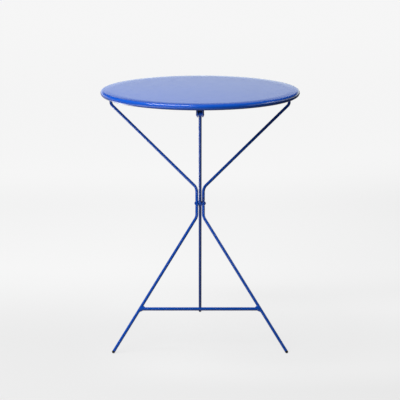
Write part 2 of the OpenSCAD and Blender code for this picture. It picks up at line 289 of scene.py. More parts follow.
class WeldSettings(bpy.types.PropertyGroup):
    """Sizes of the welds."""

    bar_toe: length("Bar toe", "Length of the crossbar welds along the crossbar", 7)
    rod_toe: length("Rod toe", "Length of the crossbar welds along the side rods", 5)
    wrap: length("Wrap", "Length of the welds round a side rod or a sleeve", 2.2)
    sleeve_toe: length("Sleeve toe", "Length of the sleeve welds along the centre rods", 2.4)
    sleeve_side: length("Sleeve side", "Length of the sleeve welds along the sleeve", 0.9)
    bead_r: length("Bead radius", "Radius of the straight beads", 1.5)
    ripple_pitch: length("Ripple pitch", "Distance between two ripples of a weld", 1.6)
    ripple_depth: length("Ripple depth", "Depth of the ripples of a weld", 0.22)
    bulge: share("Bulge", "How far a weld swells out of its corner", 0.18)


class StageSettings(bpy.types.PropertyGroup):
    """Camera, lamps and backdrop."""

    camera_back: length("Camera back", "Distance of the camera ahead of the top", 4500)
    camera_aside: length("Camera aside", "Distance of the camera to the left", 0.25)
    camera_height: length("Camera height", "Height of the camera above the floor", 1433.8)
    camera_tilt: angle("Camera tilt", "Angle that the camera looks down", 12.858)
    lens: number("Lens", "Focal length, for a sensor 36 mm wide", 135.49, unit="CAMERA")
    key_power: number("Key power", "Power of the key lamp", 42, unit="POWER")
    edge_power: number("Edge power", "Power of the edge lamp", 28, unit="POWER")
    fill_power: number("Fill power", "Power of the fill lamp", 5, unit="POWER")
    floor_size: length("Floor size", "Side of the floor", 160000)
    floor_grey: share("Floor grey", "Share of the light that the floor throws back", 0.10)
    sky_tone: share("Sky tone", "Tone of the backdrop as the camera sees it", 0.922)
    near_tone: share("Near tone", "Glow of the floor ahead of the feet", 0.72)


def maths_method(operation, swapped=False):
    """A method that adds a Math node, for an operator or for its reflected form."""

    def method(self, other):
        return self.net.maths(operation, *((other, self) if swapped else (self, other)))

    return method


class Socket:
    """An output socket, which adds Math nodes when it is used in an expression."""

    def __init__(self, net, socket):
        self.net = net
        self.socket = socket

    def __getitem__(self, name):
        return Socket(self.net, self.socket.node.outputs[name])

    __add__ = __radd__ = maths_method("ADD")
    __sub__ = maths_method("SUBTRACT")
    __rsub__ = maths_method("SUBTRACT", swapped=True)
    __mul__ = __rmul__ = maths_method("MULTIPLY")
    __truediv__ = maths_method("DIVIDE")
    __rtruediv__ = maths_method("DIVIDE", swapped=True)


class Net:
    """A node tree that is built in code."""

    def __init__(self, tree):
        self.tree = tree

    def add(self, kind, inputs=None, **settings):
        """Adds a node, sets it up, fills or links its inputs and gives its first output."""
        node = self.tree.nodes.new(kind)
        for key, value in settings.items():
            setattr(node, key, value)
        for key, value in (inputs or {}).items():
            if isinstance(value, Socket):
                self.tree.links.new(value.socket, node.inputs[key])
            else:
                node.inputs[key].default_value = value
        enabled = [s for s in node.outputs if s.enabled]
        return Socket(self, enabled[0]) if enabled else None

    def maths(self, operation, *values):
        """A Math node on numbers or sockets."""
        return self.add("ShaderNodeMath", dict(enumerate(values)), operation=operation)

    def clamp(self, value):
        """A number kept between 0 and 1."""
        return self.add("ShaderNodeClamp", {"Value": value})

    def blend(self, factor, first, second):
        """A mix of two colours."""
        inputs = {"Factor": factor, 6: opaque(first), 7: opaque(second)}
        return self.add("ShaderNodeMix", inputs, data_type="RGBA")

    def ramp(self, value, start, end, first=0.0, last=1.0):
        """A number that eases from one value to another as the given number grows."""
        limits = {"From Min": start, "From Max": end, "To Min": first, "To Max": last}
        inputs = {"Value": value, **limits}
        return self.add("ShaderNodeMapRange", inputs, interpolation_type="SMOOTHSTEP")

    def patch(self, parts, fades):
        """A product of ramps, each along its own axis."""
        return prod(self.ramp(parts[axis], *fade) for axis, *fade in fades)

    def patches(self, parts, rows):
        """A sum of patches."""
        return sum(self.patch(parts, fades) for fades in rows.values())

    def parts(self, vector):
        """The X, Y and Z of a vector."""
        return self.add("ShaderNodeSeparateXYZ", {"Vector": vector})

    def noise(self, where, scale, detail=2.0):
        """Fractal noise from 0 to 1."""
        inputs = {"Vector": where, "Scale": scale, "Detail": detail}
        return self.add("ShaderNodeTexNoise", inputs, noise_dimensions="3D")

    def bump(self, height, depth):
        """A bumped normal, whose height runs over the given depth in metres."""
        return self.add("ShaderNodeBump", {"Distance": depth, "Height": height})

    def circle(self, facets, radius):
        """A round curve."""
        inputs = {"Resolution": facets, "Radius": radius}
        return self.add("GeometryNodeCurvePrimitiveCircle", inputs, mode="RADIUS")

    def sweep(self, line, profile, scale=1.0, caps=False):
        """A profile that is carried along a line."""
        inputs = {"Curve": line, "Profile Curve": profile, "Scale": scale, "Fill Caps": caps}
        return self.add("GeometryNodeCurveToMesh", inputs)


def opaque(linear):
    """A colour with full alpha."""
    return (*linear, 1.0)


def emptied(made):
    """A new material or world, with the net that builds it."""
    made.use_nodes = True
    made.node_tree.nodes.clear()
    return made, Net(made.node_tree)


def powder_coat(net, look):
    """Satin powder coat: an even colour, fine orange peel and slightly patchy gloss."""
    cloud_scale, patch_scale = 5.0, 40.0
    swell_share, swell_scale = 0.6, 0.18
    thin_coat, thick_coat = 0.93, 1.05
    where = net.add("ShaderNodeTexCoord")["Object"]
    cloud = net.noise(where, cloud_scale)
    patches = net.noise(where, patch_scale, 3.0)
    peel = net.noise(where, 1.0 / look.peel_size, 1.5)
    swell = net.noise(where, swell_scale / look.peel_size, 1.0)
    thin = [c * thin_coat for c in look.coat]
    thick = [min(1.0, c * thick_coat) for c in look.coat]
    return {
        "Base Color": net.blend(cloud, thin, thick),
        "Roughness": look.coat_roughness + (patches - 0.5) * look.coat_patches,
        "IOR": 1.5,
        "Normal": net.bump(peel + swell * swell_share, look.peel_depth),
    }


def moulded_plastic(net, look):
    """Matt dark plastic with a moulded grain, scuffed where it meets the floor."""
    scratch_scale, scratch_contrast, scratch_cut = 900.0, 2.4, 0.5
    grain_gloss, worn_gloss = 0.15, 0.2
    where = net.add("ShaderNodeTexCoord")["Object"]
    height = net.parts(where)["Z"]
    grain = net.noise(where, 1.0 / look.grain_size, 3.0)
    scratches = net.noise(where, scratch_scale, 4.0)
    low = net.clamp(1.0 - height / look.worn_height)
    worn = net.clamp(low * (scratches * scratch_contrast - scratch_cut))
    return {
        "Base Color": net.blend(worn, look.plastic, look.plastic_worn),
        "Roughness": look.plastic_roughness + (grain - 0.5) * grain_gloss + worn * worn_gloss,
        "IOR": 1.46,
        "Normal": net.bump(grain, look.grain_depth),
    }


FINISHES = {
    COAT: ("satin_powder_coat", powder_coat),
    PLASTIC: ("matt_dark_plastic", moulded_plastic),
}


def finish(slot):
    """The material of a slot, built when it is first used."""
    name, build = FINISHES[slot]
    if name not in bpy.data.materials:
        _, net = emptied(bpy.data.materials.new(name))
        inputs = build(net, bpy.context.scene.bistro_finish)
        shader = net.add("ShaderNodeBsdfPrincipled", inputs)
        net.add("ShaderNodeOutputMaterial", {"Surface": shader})
    return bpy.data.materials[name]


def rounded_line(net, given, steps):
    """The given mesh edges as a curve, whose corners have the radius of their round attribute."""
    line = net.add("GeometryNodeMeshToCurve", {"Mesh": given["Geometry"]})
    radius = net.add("GeometryNodeInputNamedAttribute", {"Name": "round"}, data_type="FLOAT")
    inputs = {"Curve": line, "Count": steps, "Radius": radius, "Limit Radius": True}
    return net.add("GeometryNodeFilletCurve", inputs, mode="POLY")


def end_distance(net):
    """Distance along a curve from its nearer end."""
    along = net.add("GeometryNodeSplineParameter")["Length"]
    whole = net.add("GeometryNodeSplineLength")["Length"]
    return net.maths("MINIMUM", along, whole - along)


def turned_shape(net, given):
    """Turns an outline, with the radius as X and the height as Y, round the Z axis."""
    spindle = 0.01
    outline = rounded_line(net, given, given["Corner Steps"])
    inputs = {"Geometry": outline, "Translation": (-spindle, 0, 0), "Scale": (1, -1, 1)}
    placed = net.add("GeometryNodeTransform", inputs)
    return net.sweep(net.circle(given["Facets"], spindle), placed)


def rod_shape(net, given):
    """Sweeps a round rod along a bent line, with chamfered ends."""
    line = rounded_line(net, given, given["Bend Steps"])
    radius = given["Diameter"] / 2
    cut = given["Chamfer"] * (1 - net.clamp(end_distance(net) / given["Chamfer"]))
    return net.sweep(line, net.circle(given["Facets"], radius), 1 - cut / radius, True)


def bead_shape(net, given):
    """Lays a weld bead along a line, with ripples and round ends."""
    steps_per_ripple, facets, blunt = 6, 14, 0.02
    line = net.add("GeometryNodeMeshToCurve", {"Mesh": given["Geometry"]})
    inputs = {"Curve": line, "Length": given["Ripple Pitch"] / steps_per_ripple}
    stepped = net.add("GeometryNodeResampleCurve", inputs, mode="LENGTH")
    along = net.add("GeometryNodeSplineParameter")["Length"]
    wave = net.maths("ABSOLUTE", net.maths("SINE", along * pi / given["Ripple Pitch"]))
    near_end = net.clamp(end_distance(net) / given["Bead Radius"])
    round_end = net.maths("SQRT", near_end * (2 - near_end) + blunt)
    ripple = 1 - given["Ripple Depth"] / given["Bead Radius"] * (1 - wave)
    profile = net.circle(facets, given["Bead Radius"])
    return net.sweep(stepped, profile, ripple * round_end, True)


def spot_shape(net, given):
    """Repeats the raised lip of a spot weld on each point of a line."""
    ring_facets, lip_facets = 32, 10
    ring = net.circle(ring_facets, given["Spot Diameter"] / 2)
    spot = net.sweep(ring, net.circle(lip_facets, given["Lip"] / 2))
    inputs = {"Points": given["Geometry"], "Instance": spot}
    return net.add("GeometryNodeInstanceOnPoints", inputs)


SHAPES = {
    "turned_piece": (turned_shape, {"Facets": 48, "Corner Steps": 5}),
    "bent_rod": (
        rod_shape,
        {"Diameter": 0.009, "Chamfer": 0.0004, "Facets": 40, "Bend Steps": 16},
    ),
    "weld_bead": (
        bead_shape,
        {"Bead Radius": 0.0015, "Ripple Pitch": 0.0016, "Ripple Depth": 0.0002},
    ),
    "spot_welds": (spot_shape, {"Spot Diameter": 0.0055, "Lip": 0.0005}),
}


def shape_tree(kind):
    """The Geometry Nodes tree of a kind, built when it is first used.

    It takes geometry, named numbers and a material. It smooths the shape except at its sharp
    edges, makes it real and gives it the material.
    """
    if kind in bpy.data.node_groups:
        return bpy.data.node_groups[kind]
    tree = bpy.data.node_groups.new(kind, "GeometryNodeTree")
    build, numbers = SHAPES[kind]
    face = tree.interface
    face.new_socket("Geometry", in_out="OUTPUT", socket_type="NodeSocketGeometry")
    face.new_socket("Geometry", in_out="INPUT", socket_type="NodeSocketGeometry")
    for label, value in numbers.items():
        socket_type = "NodeSocketInt" if isinstance(value, int) else "NodeSocketFloat"
        face.new_socket(label, in_out="INPUT", socket_type=socket_type).default_value = value
    face.new_socket("Material", in_out="INPUT", socket_type="NodeSocketMaterial")
    net = Net(tree)
    given = net.add("NodeGroupInput")
    shape = build(net, given)
    sharp = net.maths("GREATER_THAN", net.add("GeometryNodeInputMeshEdgeAngle"), SHARP_ANGLE)
    at_edges = {"Selection": sharp, "Shade Smooth": False}
    for step, inputs, settings in (
        ("MergeByDistance", {"Distance": MERGE_DISTANCE}, {}),
        ("SetShadeSmooth", {"Shade Smooth": True}, {"domain": "FACE"}),
        ("SetShadeSmooth", at_edges, {"domain": "EDGE"}),
        ("RealizeInstances", {}, {}),
        ("SetMaterial", {"Material": given["Material"]}, {}),
    ):
        shape = net.add(f"GeometryNode{step}", {"Geometry": shape, **inputs}, **settings)
    net.add("NodeGroupOutput", {"Geometry": shape})
    return tree


def linked(name, data):
    """A new object in the scene."""
    made = bpy.data.objects.new(name, data)
    bpy.context.collection.objects.link(made)
    return made


def as_mesh(holder):
    """The mesh that an object makes. The object and its data are removed."""
    depsgraph = bpy.context.evaluated_depsgraph_get()
    mesh = bpy.data.meshes.new_from_object(holder.evaluated_get(depsgraph))
    bpy.data.batch_remove([holder, holder.data])
    return mesh


def square(points):
    """Points whose corners aren't rounded."""
    return [(point, 0.0) for point in points]


def baked_shape(kind, lines, numbers, slot=COAT, closed=False):
    """The mesh that a tree makes of one or more lines of (point, corner radius)."""
    points, edges, radii = [], [], []
    for line in lines:
        first = len(points)
        points += [point for point, _ in line]
        radii += [radius for _, radius in line]
        edges += [(i, i + 1) for i in range(first, len(points) - 1)]
        if closed:
            edges.append((len(points) - 1, first))
    mesh = bpy.data.meshes.new(kind)
    mesh.from_pydata(points, edges, [])
    mesh.attributes.new("round", "FLOAT", "POINT").data.foreach_set("value", radii)
    holder = linked(kind, mesh)
    modifier = holder.modifiers.new("shape", "NODES")
    modifier.node_group = shape_tree(kind)
    values = {**numbers, "Material": finish(slot)}
    for item in modifier.node_group.interface.items_tree:
        if item.in_out == "INPUT" and item.name in values:
            modifier[item.identifier] = values[item.name]
    return as_mesh(holder)


def faces_out(mesh):
    """Merges the doubles of a closed mesh and points its faces outwards."""
    work = bmesh.new()
    work.from_mesh(mesh)
    bmesh.ops.remove_doubles(work, verts=work.verts, dist=MERGE_DISTANCE)
    bmesh.ops.dissolve_degenerate(work, edges=work.edges, dist=MERGE_DISTANCE / 4)
    bmesh.ops.recalc_face_normals(work, faces=work.faces)
    work.to_mesh(mesh)
    work.free()
    mesh.update()


def add_piece(name, mesh, body, *nodes, place=HERE, slot=COAT, weighted=True):
    """Places a mesh in the frame as a finished piece of a body, instead of any nodes."""
    mesh.transform(place)
    faces_out(mesh)
    mesh.name = name
    piece = linked(name, mesh)
    if weighted:
        even = piece.modifiers.new("even_shading", "WEIGHTED_NORMAL")
        even.keep_sharp = True
    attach(piece, body)
    if nodes:
        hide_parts(*nodes)
    return piece


def arc(centre, radius, start, end, steps):
    """Points on a circle in a plane, from the start angle to the end angle in degrees."""
    turns = [radians(start + (end - start) * i / steps) for i in range(steps + 1)]
    u, v = centre
    return [(u + radius * cos(turn), v + radius * sin(turn)) for turn in turns]


def turned_piece(name, outline, place, body, node, slot=COAT, closed=False, facets=None):
    """A turned piece from an outline of ((radius, height), corner radius)."""
    line = [((r, z, 0), corner) for (r, z), corner in outline]
    numbers = {"Facets": facets or bpy.context.scene.bistro_pivots.facets}
    mesh = baked_shape("turned_piece", [line], numbers, slot, closed)
    return add_piece(name, mesh, body, node, place=place, slot=slot)


def ring_outline(outer_r, inner_r, low, high, corner):
    """Outline of a washer or sleeve."""
    outer = [((outer_r, high), corner), ((outer_r, low), corner)]
    return [*outer, ((inner_r, low), corner / 2), ((inner_r, high), corner / 2)]


def rod_mesh(path, diameter):
    """A swept rod along a path of (point, bend radius), with a ring beside each end."""
    rods = bpy.context.scene.bistro_rods
    points = [(Vector(point), bend) for point, bend in path]
    start, end = points[0][0], points[-1][0]
    near_start = start + (points[1][0] - start).normalized() * rods.chamfer
    near_end = end + (points[-2][0] - end).normalized() * rods.chamfer
    line = [points[0], (near_start, 0.0), *points[1:-1], (near_end, 0.0), points[-1]]
    numbers = {
        "Diameter": diameter,
        "Chamfer": rods.chamfer,
        "Facets": rods.facets,
        "Bend Steps": rods.bend_steps,
    }
    return baked_shape("bent_rod", [line], numbers)


def plate_mesh(loops, thickness, edge, place):
    """A flat plate with rounded edges, from its outline and the outlines of its holes."""
    flat = bpy.data.curves.new("plate", "CURVE")
    flat.dimensions = "2D"
    flat.fill_mode = "BOTH"
    flat.extrude = thickness / 2 - edge
    flat.bevel_depth = edge
    flat.bevel_resolution = 2
    flat.offset = -edge
    for loop in loops:
        spline = flat.splines.new("POLY")
        spline.points.add(len(loop) - 1)
        for point, (u, v) in zip(spline.points, loop):
            point.co = (u, v, 0, 1)
        spline.use_cyclic_u = True
    mesh = as_mesh(linked("plate", flat))
    mesh.materials.clear()
    mesh.materials.append(finish(COAT))
    faces_out(mesh)
    mesh.shade_smooth()
    mesh.set_sharp_from_angle(angle=SHARP_ANGLE)
    mesh.transform(place)
    return mesh


def joined(meshes):
    """One mesh out of several."""
    work = bmesh.new()
    for mesh in meshes:
        work.from_mesh(mesh)
    work.to_mesh(meshes[0])
    work.free()
    for mesh in meshes[1:]:
        bpy.data.meshes.remove(mesh)
    return meshes[0]


def along_x(side, x=0):
    """Turns the axis of a shape from Z to the X of its side, at a distance."""
    return moved(side * x, 0, 0) @ Matrix.Rotation(side * pi / 2, 4, "Y")


def mirrored(side):
    """Mirrors what lies on the right to the left side."""
    return Matrix.Scale(side, 4, (1, 0, 0))


def symmetric(half):
    """An outline from its right half, with the left half as its mirror image."""
    return [*half, *((-u, v) for u, v in reversed(half))]


def channel_outline(half_w, height, wall, bend):
    """Outline of a channel that opens downwards, with its web under Z = 0."""
    centre = (half_w - bend, -bend)
    outer = arc(centre, bend, 90, 0, steps=6)
    inner = arc(centre, bend - wall, 0, 90, steps=6)
    return symmetric([*outer, (half_w, -height), (half_w - wall, -height), *inner])


def rounded_plate(half_w, height, corner):
    """Outline of a plate that hangs from Z = 0, with two rounded lower corners."""
    centre = (half_w - corner, corner - height)
    return symmetric([(half_w, 0), *arc(centre, corner, 0, -90, steps=8)])


def rolled_arc(ring, radius, start, end, top):
    """Arc of the rolled edge, whose upper half is as much lower as the face falls."""
    steps = 60
    scale = 1 - top.fall / radius
    points = arc(ring, radius, start, end, steps)
    middle_z = ring[1]
    return [(r, middle_z + (z - middle_z) * (scale if z > middle_z else 1)) for r, z in points]


def falling_face(end_r, top):
    """Points of the face, from its middle to where the rolled edge starts."""
    steps, flat_rings = 10, (0, 1 / 3, 0.8)
    shares = [i / steps for i in range(steps)]
    shoulder = [(end_r - top.shoulder * (1 - s), TOP_Z - top.fall * s * s) for s in shares]
    return [*((end_r * ring, TOP_Z) for ring in flat_rings), *shoulder]


class BISTRO_OT_top(bpy.types.Operator):
    """Build the pressed top, whose edge curls round the tube hoop"""

    bl_idname = "bistro.top"
    bl_label = "Rolled Top"

    def execute(self, context):
        top = context.scene.bistro_top
        roll_r = RIM_H / 2
        ring = (TOP_R - roll_r, TOP_Z - roll_r)
        start = 90 - degrees(atan(2 * top.fall / top.shoulder))
        end = 90 - degrees(top.curl)
        lip = arc(ring, roll_r - top.sheet / 2, end, end, steps=1)[0]
        face = falling_face(ring[0], top)
        outline = face + rolled_arc(ring, roll_r, start, end, top)
        outline += arc(lip, top.sheet / 2, end, end - 180, steps=8)[1:-1]
        outline += rolled_arc(ring, roll_r - top.sheet, end, start, top)
        outline += [(r, z - top.sheet) for r, z in reversed(face)]
        turned_piece("rolled_top", square(outline), HERE, "top", "top_sheet", facets=top.turns)
        for slot in frame["nodes"]["rim_hoop"].material_slots:
            slot.material = finish(COAT)
        return {"FINISHED"}


def lay_beads(name, beads):
    """Straight weld beads under the top, each from one point to another."""
    welds = bpy.context.scene.bistro_welds
    numbers = {
        "Bead Radius": welds.bead_r,
        "Ripple Pitch": welds.ripple_pitch,
        "Ripple Depth": welds.ripple_depth,
    }
    mesh = baked_shape("weld_bead", [square(bead) for bead in beads], numbers)
    add_piece(name, mesh, "top", weighted=False)


def add_lug(name, edge, pivots):
    """One hinge lug, with a bead along each of its faces."""
    node = f"{name}_hinge_lug"
    low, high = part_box(node)
    radius = (high.y - low.y) / 2
    rise = high.z - HINGE.z
    outline = [(radius, rise), (-radius, rise), *arc((0, 0), radius, 180, 360, steps=32)]
    step = 360 / pivots.facets
    bore = arc((0, 0), ROD_D / 2 + pivots.play, 360, step, pivots.facets - 1)
    place = moved((low.x + high.x) / 2, HINGE.y, HINGE.z) @ ACROSS_X
    mesh = plate_mesh([outline, bore], high.x - low.x, edge, place)
    add_piece(f"{name}_lug_plate", mesh, "top", node)
    ends = (HINGE.y - radius + edge * 2, HINGE.y + radius - edge * 2)
    beads = [[(x, y, high.z) for y in ends] for x in (low.x, high.x)]
    lay_beads(f"{name}_lug_welds", beads)


class BISTRO_OT_brace(bpy.types.Operator):
    """Build the channel brace, its hinge lugs and their welds"""

    bl_idname = "bistro.brace"
    bl_label = "Brace and Lugs"

    def execute(self, context):
        top = context.scene.bistro_top
        low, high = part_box("hinge_brace")
        size = high - low
        outline = channel_outline(size.y / 2, size.z, top.brace_wall, top.brace_bend)
        place = moved(0, HINGE.y, high.z) @ ACROSS_X
        mesh = plate_mesh([outline], size.x, top.plate_edge / 2, place)
        add_piece("brace_channel", mesh, "top", "hinge_brace")
        first = -top.spot_pitch * (top.spot_count - 1) / 2
        under_z = high.z - top.brace_wall
        spots = [(first + top.spot_pitch * i, HINGE.y, under_z) for i in range(top.spot_count)]
        numbers = {"Spot Diameter": top.spot_d, "Lip": top.spot_lip}
        mesh = baked_shape("spot_welds", [square(spots)], numbers)
        add_piece("brace_spot_welds", mesh, "top")
        for name in SIDES:
            add_lug(name, top.plate_edge, context.scene.bistro_pivots)
        return {"FINISHED"}


def ear_outline(radius, rise, heel, top):
    """Outline of an ear: round below the pin, slotted to the rear and down, with a heel."""
    turn = degrees(top.slot_turn)
    half = top.slot / 2
    mouth = degrees(asin(half / radius))
    heel_turn = degrees(asin(heel[1] / radius))
    outline = [(heel[0], rise), (-radius, rise)]
    outline += arc((0, 0), radius, 180, 360 + turn - mouth, steps=20)
    outline += arc((0, 0), half, turn - 90, turn - 270, steps=16)
    outline += arc((0, 0), radius, turn + mouth, heel_turn, steps=3)
    return [*outline, heel]


class BISTRO_OT_keeper(bpy.types.Operator):
    """Build the keeper under the front edge, which the latch pin seats in"""

    bl_idname = "bistro.keeper"
    bl_label = "Front Keeper"

    def execute(self, context):
        top = context.scene.bistro_top
        low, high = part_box("front_keeper")
        bend, wall, edge = top.keeper_bend, top.keeper_wall, top.plate_edge
        half_w = top.keeper_gap / 2 + wall
        back_y = high.y - wall / 2
        outline = channel_outline(half_w, bend, wall, bend)
        place = moved(0, (low.y + back_y) / 2, high.z) @ ALONG_Y
        meshes = [plate_mesh([outline], back_y - low.y, edge / 2, place)]
        outline = rounded_plate(high.x, top.back_reach, top.back_corner)
        meshes.append(plate_mesh([outline], wall, edge, moved(0, back_y, high.z) @ ALONG_Y))
        overlap = 0.4 * MM
        heel = (back_y - LATCH.y, high.z - top.back_reach - LATCH.z)
        rise = high.z - bend + overlap - LATCH.z
        outline = ear_outline(LATCH.z - low.z, rise, heel, top)
        for side in SIDES.values():
            place = moved(side * (half_w - wall / 2), LATCH.y, LATCH.z) @ ACROSS_X
            meshes.append(plate_mesh([outline], wall, edge, place))
        add_piece("keeper_bracket", joined(meshes), "top", "front_keeper")
        ends = (bend - half_w, half_w - bend)
        lay_beads("keeper_welds", [[(x, y, high.z) for x in ends] for y in (low.y, high.y)])
        return {"FINISHED"}


def tip_centre(foot):
    """Middle of the round tip of a glide, from the mount of its foot."""
    rise = ROD_D / 2 - bpy.context.scene.bistro_pivots.sole
    return place_of(frame["record"]["mounts"], foot) + Vector((0, 0, rise))


def rod_points(rods):
    """Path of the right side rod in the plane of the leg frame, from its hinge pin to its foot."""
    hinge_s = (HINGE - WAIST).length
    knee = Vector((rods.neck, 0, -rods.neck_down))
    foot = IN_FRAME.inverted() @ tip_centre("right_front_foot")
    foot += (knee - foot).normalized() * bpy.context.scene.bistro_pivots.collar
    steps = 5
    fade = [rods.flat_length / 2 + rods.flat_fade * i / steps for i in range(steps + 1)]
    return [
        ((rods.pin_end, 0, hinge_s), 0.0),
        ((rods.reach, 0, hinge_s), rods.pin_bend),
        ((rods.reach, 0, hinge_s - rods.upright), rods.shoulder_bend),
        ((rods.neck, 0, rods.neck_up), rods.neck_bend),
        *square((rods.neck, 0, s) for s in (*reversed(fade), *(-s for s in fade))),
        (knee, rods.neck_bend),
        (foot, 0.0),
    ]


def leg_splay(rods):
    """Angle by which the lower run of a side rod leans outwards."""
    foot = rod_points(rods)[-1][0]
    return atan2(foot.x - rods.neck, -rods.neck_down - foot.z)


def press_flats(mesh, rods):
    """Presses the two flats at the waist, which fade into the round."""
    for vertex in mesh.vertices:
        beyond = abs(vertex.co.z) - rods.flat_length / 2
        if beyond < rods.flat_fade:
            s = max(0.0, beyond / rods.flat_fade)
            limit = ROD_D / 2 - rods.flat_depth + rods.flat_depth * s * s * (3 - 2 * s)
            out = vertex.co.x - rods.neck
            vertex.co.x = rods.neck + max(-limit, min(limit, out))


class BISTRO_OT_side_rods(bpy.types.Operator):
    """Build the two bent side rods"""

    bl_idname = "bistro.side_rods"
    bl_label = "Side Rods"

    def execute(self, context):
        rods = context.scene.bistro_rods
        for name, side in SIDES.items():
            rod = rod_mesh(rod_points(rods), ROD_D)
            press_flats(rod, rods)
            node, place = f"{name}_side_rod", mirrored(side) @ IN_FRAME
            add_piece(f"{name}_bent_rod", rod, "leg_frame", node, place=place, weighted=False)
        return {"FINISHED"}


def lay_weld(name, body, place, bar_r, post_r, lean, toes, pitches):
    """Lays a rippled weld round a bar that comes along X from below to a post at the origin.

    The post leans from Z towards X. The toes are the lengths of the weld along the bar, along
    the post and round the post. The pitches are how many ripples fit round the bar.
    """
    sink = 0.98
    skew = 0.3
    core_x, core_yz = 0.3, 0.5
    steps_per_ripple = across_steps = 8
    welds = bpy.context.scene.bistro_welds
    bar_toe, post_toe, wrap = toes
    ripples = round(pitches)
    around_steps = ripples * steps_per_ripple
    row = across_steps + 2
    axis = Vector((sin(lean), 0, cos(lean)))
    out = Vector((axis.z, 0, -axis.x))
    points, faces = [], []
    for i in range(around_steps):
        turn = 2 * pi * i / around_steps
        y, z = bar_r * cos(turn), bar_r * sin(turn)
        seat = sqrt(max(post_r**2 - y * y, 0))
        corner = Vector(((z * axis.x - seat) / axis.z, y, z))
        bar_edge = Vector((corner.x - bar_toe, y * sink, z * sink))
        height = corner.dot(axis) + post_toe * sin(turn)
        bearing = atan2(y, seat) + wrap / post_r * cos(turn)
        post_edge = axis * height - out * post_r * sink * cos(bearing)
        post_edge.y = post_r * sink * sin(bearing)
        middle = (bar_edge + post_edge) / 2
        outwards = (middle - corner).normalized()
        crown = middle + (middle - corner) * welds.bulge
        for j in range(across_steps + 1):
            t = j / across_steps
            point = bar_edge * (1 - t) ** 2 + crown * 2 * t * (1 - t) + post_edge * t * t
            swing = skew * (2 * t - 1) ** 2
            wave = abs(sin(turn * ripples / 2 + swing * pi))
            dip = welds.ripple_depth * 4 * t * (1 - t) * (1 - wave)
            points.append(point - outwards * dip)
        points.append(Vector((corner.x + post_r * core_x, y * core_yz, z * core_yz)))
        this_row, next_row = i * row, (i + 1) % around_steps * row
        for j in range(row):
            k = (j + 1) % row
            faces.append((this_row + j, this_row + k, next_row + k, next_row + j))
    mesh = bpy.data.meshes.new(name)
    mesh.from_pydata(points, [], faces)
    mesh.shade_smooth()
    mesh.materials.append(finish(COAT))
    add_piece(name, mesh, body, place=place, weighted=False)


class BISTRO_OT_crossbar(bpy.types.Operator):
    """Build the crossbar between the front legs, with its welds"""

    bl_idname = "bistro.crossbar"
    bl_label = "Crossbar"

    def execute(self, context):
        rods = context.scene.bistro_rods
        welds = context.scene.bistro_welds
        splay = leg_splay(rods)
        half_l = rods.neck + (rods.bar_drop - rods.neck_down) * tan(splay)
        place = IN_FRAME @ moved(0, 0, -rods.bar_drop)
        bar = rod_mesh(square([(-half_l, 0, 0), (half_l, 0, 0)]), rods.bar_d)
        for vertex in bar.vertices:
            vertex.co.x -= copysign(tan(splay), vertex.co.x) * vertex.co.z
        add_piece("crossbar_rod", bar, "leg_frame", "crossbar", place=place, weighted=False)
        toes = (welds.bar_toe, welds.rod_toe, welds.wrap)
        coarseness = 1.6
        pitches = pi * (rods.bar_d + welds.rod_toe) / welds.ripple_pitch / coarseness
        for name, side in SIDES.items():
            seat = mirrored(side) @ place @ moved(half_l, 0, 0)
            sizes = (rods.bar_d / 2, ROD_D / 2, -splay, toes, pitches)
            lay_weld(f"{name}_crossbar_weld", "leg_frame", seat, *sizes)
        return {"FINISHED"}


class BISTRO_OT_centre_leg(bpy.types.Operator):
    """Build the centre rods, the bush at the waist, the latch eye and their welds"""

    bl_idname = "bistro.centre_leg"
    bl_label = "Centre Leg"

    def execute(self, context):
        pivots = context.scene.bistro_pivots
        welds = context.scene.bistro_welds
        bush_r = size_of("waist_bush").y / 2
        eye_r = size_of("latch_eye").y / 2
        foot = IN_CENTRE_LEG.inverted() @ tip_centre("rear_foot")
        bite = 2 * MM
        place = IN_CENTRE_LEG
        for name, start_s, end_s in (
            ("upper_centre", bush_r - bite, LATCH_S - eye_r + bite),
            ("lower_centre", bite - bush_r, foot.z + pivots.collar),
        ):
            rod = rod_mesh(square([(0, 0, start_s), (0, 0, end_s)]), ROD_D)
            node = f"{name}_rod"
            add_piece(f"{name}_straight_rod", rod, "centre_leg", node, place=place, weighted=False)
        bore_r = pivots.pin_d / 2 + pivots.play
        for node, place_s, radius in (("waist_bush", 0, bush_r), ("latch_eye", LATCH_S, eye_r)):
            half_l = size_of(node).x / 2
            outline = ring_outline(radius, bore_r, -half_l, half_l, pivots.corner)
            place = IN_CENTRE_LEG @ moved(0, 0, place_s) @ along_x(1)
            turned_piece(f"{node}_sleeve", outline, place, "centre_leg", node, closed=True)
        toes = (welds.sleeve_toe, welds.sleeve_side, welds.wrap)
        pitches = pi * ROD_D / welds.ripple_pitch
        for name, sleeve_r, sleeve_s, side in (
            ("bush_upper_weld", bush_r, 0, 1),
            ("bush_lower_weld", bush_r, 0, -1),
            ("eye_weld", eye_r, LATCH_S, -1),
        ):
            place = IN_CENTRE_LEG @ moved(0, 0, sleeve_s) @ along_x(side)
            lay_weld(name, "centre_leg", place, ROD_D / 2, sleeve_r, 0, toes, pitches)
        return {"FINISHED"}


def add_pin(node, head_h, body, place, pivots):
    """A pin across X with a domed head at each end."""
    size = size_of(node)
    head_r = size.y / 2
    seat = size.x / 2 - head_h
    dome_h = head_h - pivots.head_edge
    dome_r = (head_r**2 + dome_h**2) / (2 * dome_h)
    reach = degrees(asin(head_r / dome_r))
    half = square(arc((0, seat + head_h - dome_r), dome_r, 90, 90 - reach, steps=12))
    half += [((head_r, seat), pivots.head_edge / 2), ((pivots.pin_d / 2, seat), 0.0)]
    outline = half + [((r, -z), corner) for (r, z), corner in reversed(half)]
    turned_piece(f"{node}_headed", outline, place @ along_x(1), body, node)


